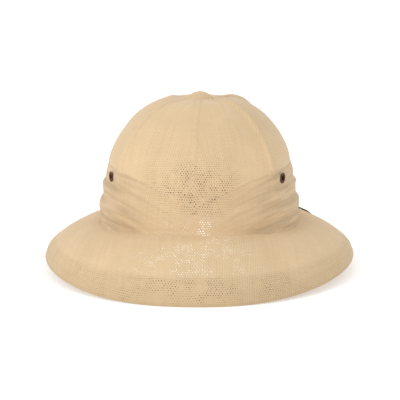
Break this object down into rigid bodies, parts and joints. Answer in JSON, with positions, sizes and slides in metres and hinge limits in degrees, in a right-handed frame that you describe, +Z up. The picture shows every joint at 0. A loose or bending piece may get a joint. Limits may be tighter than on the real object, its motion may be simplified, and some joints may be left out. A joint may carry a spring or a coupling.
{
  "type": "safari hat",
  "caption": "Woven straw safari hat with a domed crown of sewn panels, sloping brim, pleated band, button, ventilation eyelets and chin strap.",
  "frame": {"origin": "centre of the hat on the surface that its rim rests on", "axes": "+Z up through the crown, front of the hat towards -Y, width along X, the wearer's left at +X"},
  "size_m": [0.286, 0.336, 0.1614],
  "materials": {
    "straw": "natural woven paper straw, matt, open weave",
    "band_straw": "natural woven paper straw in soft pleats, matt",
    "aged_bronze": "dark aged bronze, satin",
    "dark_leather": "dark brown, satin"
  },
  "bodies": {
    "root": {"crown": "straw", "brim": "straw", "puggaree": "band_straw", "top_button": "straw", "eyelet_front_left": "aged_bronze", "eyelet_front_right": "aged_bronze", "eyelet_rear_left": "aged_bronze", "eyelet_rear_right": "aged_bronze", "chin_strap": "dark_leather"}
  },
  "joints": []
}
